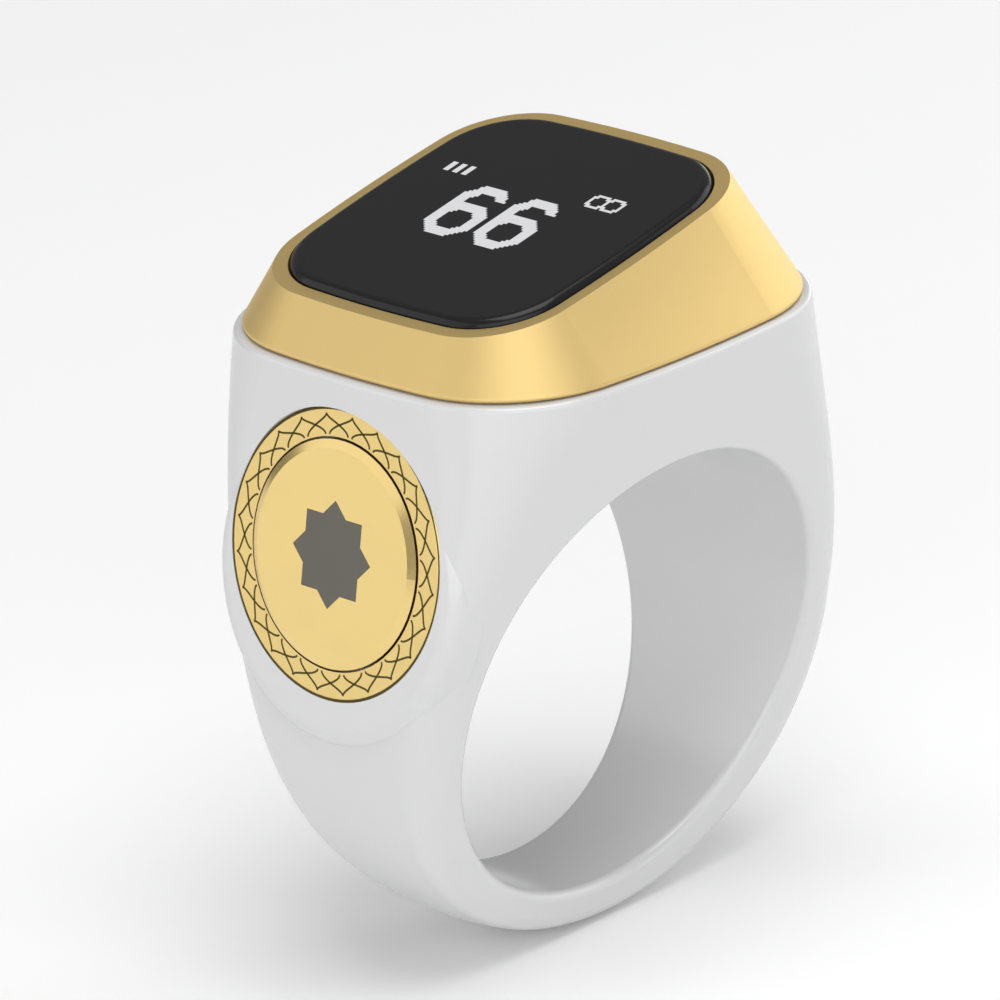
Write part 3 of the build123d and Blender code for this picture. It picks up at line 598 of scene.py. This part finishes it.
def lay_floor(scene, stage):
    """Wide pale floor under the counter."""
    level = CAD_BOX[0][2]
    signs = ((-1, -1), (1, -1), (1, 1), (-1, 1))
    mesh = bpy.data.meshes.new("floor")
    mesh.from_pydata([(x * FLOOR_REACH, y * FLOOR_REACH, level) for x, y in signs], [], [(0, 1, 2, 3)])
    pale = finish("floor_pale", stage.floor, 0.6, drift=0.004, drift_size=60.0)
    shader = shader_of(pale)
    shader.inputs["Emission Color"].default_value = WHITE
    shader.inputs["Emission Strength"].default_value = stage.floor_lift
    mesh.materials.append(pale)
    floor = bpy.data.objects.new("floor", mesh)
    scene.collection.objects.link(floor)


def light_studio(scene, stage):
    """Even light from all round, and the soft boxes."""
    world = bpy.data.worlds.new("studio")
    world.use_nodes = True
    sky = world.node_tree.nodes["Background"]
    sky.inputs["Color"].default_value = WHITE
    sky.inputs["Strength"].default_value = stage.sky
    scene.world = world
    for name, place, width, height, power in BOXES:
        light = bpy.data.lights.new(name, "AREA")
        light.shape = "RECTANGLE"
        light.size = width
        light.size_y = height
        light.energy = power
        lamp = bpy.data.objects.new(name, light)
        lamp.location = place
        lamp.rotation_euler = (LIGHT_TARGET - Vector(place)).to_track_quat("-Z", "Y").to_euler()
        scene.collection.objects.link(lamp)


def place_camera(scene, stage):
    """Camera at the photograph's viewing angle."""
    camera = bpy.data.cameras.new("camera")
    camera.sensor_width = SENSOR_WIDTH
    camera.lens = stage.lens
    camera.clip_start = NEAREST
    camera.clip_end = FARTHEST
    upward = CAMERA_BACK.cross(CAMERA_RIGHT).normalized()
    right = upward.cross(CAMERA_BACK)
    axes = Matrix((right, upward, CAMERA_BACK)).transposed().to_4x4()
    view = bpy.data.objects.new("camera", camera)
    view.matrix_world = Matrix.Translation(CAMERA_PLACE) @ axes
    scene.collection.objects.link(view)
    scene.camera = view


class FinishSettings(bpy.types.PropertyGroup):
    """Colours and gloss of the counter"""

    housing: FloatVectorProperty(
        name="Housing",
        description="White of the moulded housing",
        default=(0.61, 0.61, 0.615),
        subtype="COLOR",
    )
    housing_roughness: FloatProperty(
        name="Housing Roughness",
        description="Softness of the housing's reflections",
        default=0.24,
        subtype="FACTOR",
    )
    satin_gold: FloatVectorProperty(
        name="Satin Gold",
        description="Gold of the bezel",
        default=(0.79, 0.59, 0.25),
        subtype="COLOR",
    )
    satin_roughness: FloatProperty(
        name="Satin Roughness",
        description="Softness of the bezel's reflections",
        default=0.5,
        subtype="FACTOR",
    )
    polished_gold: FloatVectorProperty(
        name="Polished Gold",
        description="Gold of the medallion and the button",
        default=(0.86, 0.65, 0.265),
        subtype="COLOR",
    )
    polished_roughness: FloatProperty(
        name="Polished Roughness",
        description="Softness of the button's reflections",
        default=0.2,
        subtype="FACTOR",
    )
    window: FloatVectorProperty(
        name="Window",
        description="Black of the display window",
        default=(0.012, 0.012, 0.013),
        subtype="COLOR",
    )
    inlay: FloatVectorProperty(
        name="Inlay",
        description="Dark fill of the star",
        default=(0.1, 0.092, 0.072),
        subtype="COLOR",
    )
    # Painted shade: a dark gold tone on the engraving's ribbons that stands in for the shade inside
    # engraved grooves
    lines: FloatVectorProperty(
        name="Lines",
        description="Dark fill of the engraved lines",
        default=(0.085, 0.065, 0.014),
        subtype="COLOR",
    )
    dots: FloatVectorProperty(
        name="Dots",
        description="Light of the display's dots",
        default=(0.58, 0.58, 0.59),
        subtype="COLOR",
    )


class DetailSettings(bpy.types.PropertyGroup):
    """Sizes of the engraving, the wedges behind the boss and the display"""

    petals: IntProperty(
        name="Petals",
        description="Petals round the medallion",
        default=24,
    )
    base_radius: FloatProperty(
        name="Petal Base",
        description="Radius where the petals' lines begin",
        default=4.88 * MM,
        unit="LENGTH",
    )
    tip_radius: FloatProperty(
        name="Petal Tip",
        description="Radius of the petals' tips",
        default=5.74 * MM,
        unit="LENGTH",
    )
    border_radius: FloatProperty(
        name="Border",
        description="Radius of the line round the medallion",
        default=5.95 * MM,
        unit="LENGTH",
    )
    half_turn: FloatProperty(
        name="Petal Half Turn",
        description="Angle from a petal's tip to the end of its line",
        default=radians(13.7),
        subtype="ANGLE",
    )
    petal_turn: FloatProperty(
        name="Petal Turn",
        description="Angle by which the whole ring of petals is turned",
        default=radians(-3.7),
        subtype="ANGLE",
    )
    line_width: FloatProperty(
        name="Line Width",
        description="Width of an engraved line",
        default=0.086 * MM,
        unit="LENGTH",
    )
    border_width: FloatProperty(
        name="Border Width",
        description="Width of the line round the medallion",
        default=0.07 * MM,
        unit="LENGTH",
    )
    # Thickness of the ribbons that carry the painted groove shade
    line_depth: FloatProperty(
        name="Line Depth",
        description="Thickness of the dark fill",
        default=0.012 * MM,
        unit="LENGTH",
    )
    boss_radius: FloatProperty(
        name="Boss Radius",
        description="Radius of the boss at its back edge",
        default=7.105 * MM,
        unit="LENGTH",
    )
    boss_depth: FloatProperty(
        name="Boss Depth",
        description="Distance from the medallion's face to the boss's back edge",
        default=1.6 * MM,
        unit="LENGTH",
    )
    boss_drop: FloatProperty(
        name="Boss Drop",
        description="Distance of the boss's centre below the medallion's",
        default=1.0 * MM,
        unit="LENGTH",
    )
    blend_height: FloatProperty(
        name="Blend Height",
        description="Rise of the wedge behind the boss",
        default=0.19 * MM,
        unit="LENGTH",
    )
    blend_length: FloatProperty(
        name="Blend Length",
        description="Length of the wedge behind the boss",
        default=0.55 * MM,
        unit="LENGTH",
    )
    blend_start: FloatProperty(
        name="Blend Start",
        description="Angle round the boss where the wedge begins",
        default=radians(-28),
        subtype="ANGLE",
    )
    blend_sweep: FloatProperty(
        name="Blend Sweep",
        description="Angle that the wedge covers",
        default=radians(27),
        subtype="ANGLE",
    )
    dot_pitch: FloatProperty(
        name="Dot Pitch",
        description="Distance between the display's dots",
        default=0.14 * MM,
        unit="LENGTH",
    )
    dot_size: FloatProperty(
        name="Dot Size",
        description="Width of one lit dot",
        default=0.134 * MM,
        unit="LENGTH",
    )
    dot_depth: FloatProperty(
        name="Dot Depth",
        description="Thickness of one lit dot",
        default=0.01 * MM,
        unit="LENGTH",
    )


class StageSettings(bpy.types.PropertyGroup):
    """Floor, light and camera"""

    floor: FloatVectorProperty(
        name="Floor",
        description="Colour of the floor",
        default=(0.9, 0.9, 0.9),
        subtype="COLOR",
    )
    floor_lift: FloatProperty(
        name="Floor Lift",
        description="Light that the floor gives off itself",
        default=0.05,
    )
    sky: FloatProperty(
        name="Sky",
        description="Strength of the even light from all round",
        default=0.25,
    )
    lens: FloatProperty(
        name="Lens",
        description="Focal length of the camera, in millimetres",
        default=288.2,
        unit="CAMERA",
    )


class COUNTER_OT_set_stage(bpy.types.Operator):
    """Sets the pale floor, the soft light and the camera"""

    bl_idname = "counter.set_stage"
    bl_label = "Set Stage"

    def execute(self, context):
        scene = context.scene
        stage = scene.counter_stage
        scene.view_settings.view_transform = "Standard"
        lay_floor(scene, stage)
        light_studio(scene, stage)
        place_camera(scene, stage)
        return {"FINISHED"}


class COUNTER_OT_finish_housing(bpy.types.Operator):
    """Gives the moulded housing its white gloss"""

    bl_idname = "counter.finish_housing"
    bl_label = "Finish Housing"

    def execute(self, context):
        look = context.scene.counter_finish
        white = finish(
            "housing_white",
            look.housing,
            look.housing_roughness,
            specular=1.0,
            drift=0.012,
            drift_size=12.0,
            grain=0.012,
        )
        dress("ring_body", white)
        return {"FINISHED"}


class COUNTER_OT_finish_bezel(bpy.types.Operator):
    """Gives the bezel its satin gold and the window its black"""

    bl_idname = "counter.finish_bezel"
    bl_label = "Finish Bezel and Window"

    def execute(self, context):
        look = context.scene.counter_finish
        gold = finish(
            "gold_satin",
            look.satin_gold,
            look.satin_roughness,
            metallic=1.0,
            drift=0.02,
            grain=0.04,
            grain_size=0.12,
        )
        dress("bezel", gold)
        dress("display_window", finish("window_black", look.window, 0.2, drift=0.05, specular=0.25))
        return {"FINISHED"}


class COUNTER_OT_finish_button(bpy.types.Operator):
    """Gives the medallion, the button and its star their finishes"""

    bl_idname = "counter.finish_button"
    bl_label = "Finish Button"

    def execute(self, context):
        look = context.scene.counter_finish
        for node, name, share, softer in (
            ("button_cap", "gold_polished", 1.0, 0.0),
            ("medallion_ring", "gold_engraved", 0.93, 0.1),
        ):
            gold = finish(
                name,
                shaded(look.polished_gold, share),
                look.polished_roughness + softer,
                metallic=1.0,
                drift=0.03,
                drift_size=3.0,
                grain=0.02,
                grain_size=0.15,
            )
            dress(node, gold)
        dress("button_emblem", finish("emblem_grey", look.inlay, 0.45, drift=0.06, grain=0.05))
        return {"FINISHED"}


class COUNTER_OT_finish_inside(bpy.types.Operator):
    """Gives the pieces inside the counter their finishes"""

    bl_idname = "counter.finish_inside"
    bl_label = "Finish Inner Pieces"

    def execute(self, context):
        for name, colour, roughness, settings, nodes in INNER_FINISHES:
            material = finish(name, colour, roughness, **settings)
            for node in nodes:
                dress(node, material)
        return {"FINISHED"}


class COUNTER_OT_engrave_medallion(bpy.types.Operator):
    """Lays the ring of petals and the border line on the medallion as thin dark ribbons, painted shade of
    engraved grooves
    """

    bl_idname = "counter.engrave_medallion"
    bl_label = "Engrave Medallion"

    def execute(self, context):
        look = context.scene.counter_finish
        detail = context.scene.counter_detail
        piece = grow(
            "medallion_engraving",
            petal_tree(),
            {
                "Petals": detail.petals,
                "Base Radius": detail.base_radius,
                "Tip Radius": detail.tip_radius,
                "Border Radius": detail.border_radius,
                "Half Turn": detail.half_turn,
                "Turn": detail.petal_turn,
                "Line Width": detail.line_width,
                "Border Width": detail.border_width,
                "Line Depth": detail.line_depth,
                # Painted shade: the lines' dark gold stands in for the shade inside engraved grooves
                "Material": finish("painted_groove_shade", look.lines, 0.6, drift=0.1, specular=0.1),
            },
        )
        piece.data.transform(face_frame("medallion_ring", button_outward()))
        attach(piece, "ring")
        return {"FINISHED"}


class COUNTER_OT_blend_boss(bpy.types.Operator):
    """Blends the back edge of the boss into the housing's flanks"""

    bl_idname = "counter.blend_boss"
    bl_label = "Blend Boss"

    def execute(self, context):
        detail = context.scene.counter_detail
        mesh = boss_blends(face_frame("medallion_ring", button_outward()), detail)
        mesh.materials.append(frame["nodes"]["ring_body"].data.materials[0])
        piece = bpy.data.objects.new("boss_blends", mesh)
        context.scene.collection.objects.link(piece)
        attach(piece, "ring")
        return {"FINISHED"}


class COUNTER_OT_light_display(bpy.types.Operator):
    """Lights the dots of the display"""

    bl_idname = "counter.light_display"
    bl_label = "Light Display"

    def execute(self, context):
        look = context.scene.counter_finish
        detail = context.scene.counter_detail
        piece = grow(
            "display_dots",
            dot_tree(),
            {
                "Dot Size": detail.dot_size,
                "Dot Depth": detail.dot_depth,
                "Material": glow("display_light", look.dots, strength=1.0),
            },
            lit_points(detail),
        )
        outward = Vector((-sin(RIM_TILT), 0, cos(RIM_TILT)))
        piece.data.transform(face_frame("display_window", outward))
        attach(piece, "ring")
        return {"FINISHED"}


class COUNTER_PT_pieces(bpy.types.Panel):
    """Steps that dress the counter"""

    bl_label = "Tasbih Counter"
    bl_idname = "COUNTER_PT_pieces"
    bl_space_type = "VIEW_3D"
    bl_region_type = "UI"
    bl_category = "Counter"

    def draw(self, context):
        for operator in OPERATORS:
            self.layout.operator(operator.bl_idname)
        for settings in ("counter_finish", "counter_detail", "counter_stage"):
            group = getattr(context.scene, settings)
            column = self.layout.column()
            for name in group.__annotations__:
                column.prop(group, name)


OPERATORS = (
    COUNTER_OT_set_stage,
    COUNTER_OT_finish_housing,
    COUNTER_OT_finish_bezel,
    COUNTER_OT_finish_button,
    COUNTER_OT_finish_inside,
    COUNTER_OT_engrave_medallion,
    COUNTER_OT_blend_boss,
    COUNTER_OT_light_display,
)
CLASSES = (FinishSettings, DetailSettings, StageSettings, *OPERATORS, COUNTER_PT_pieces)


def register():
    for cls in CLASSES:
        bpy.utils.register_class(cls)
    bpy.types.Scene.counter_finish = PointerProperty(type=FinishSettings)
    bpy.types.Scene.counter_detail = PointerProperty(type=DetailSettings)
    bpy.types.Scene.counter_stage = PointerProperty(type=StageSettings)


def unregister():
    del bpy.types.Scene.counter_stage
    del bpy.types.Scene.counter_detail
    del bpy.types.Scene.counter_finish
    for cls in reversed(CLASSES):
        bpy.utils.unregister_class(cls)


def main():
    register()
    bpy.ops.counter.set_stage()
    bpy.ops.counter.finish_housing()
    bpy.ops.counter.finish_bezel()
    bpy.ops.counter.finish_button()
    bpy.ops.counter.finish_inside()
    bpy.ops.counter.engrave_medallion()
    bpy.ops.counter.blend_boss()
    bpy.ops.counter.light_display()


if __name__ == "__main__":
    main()
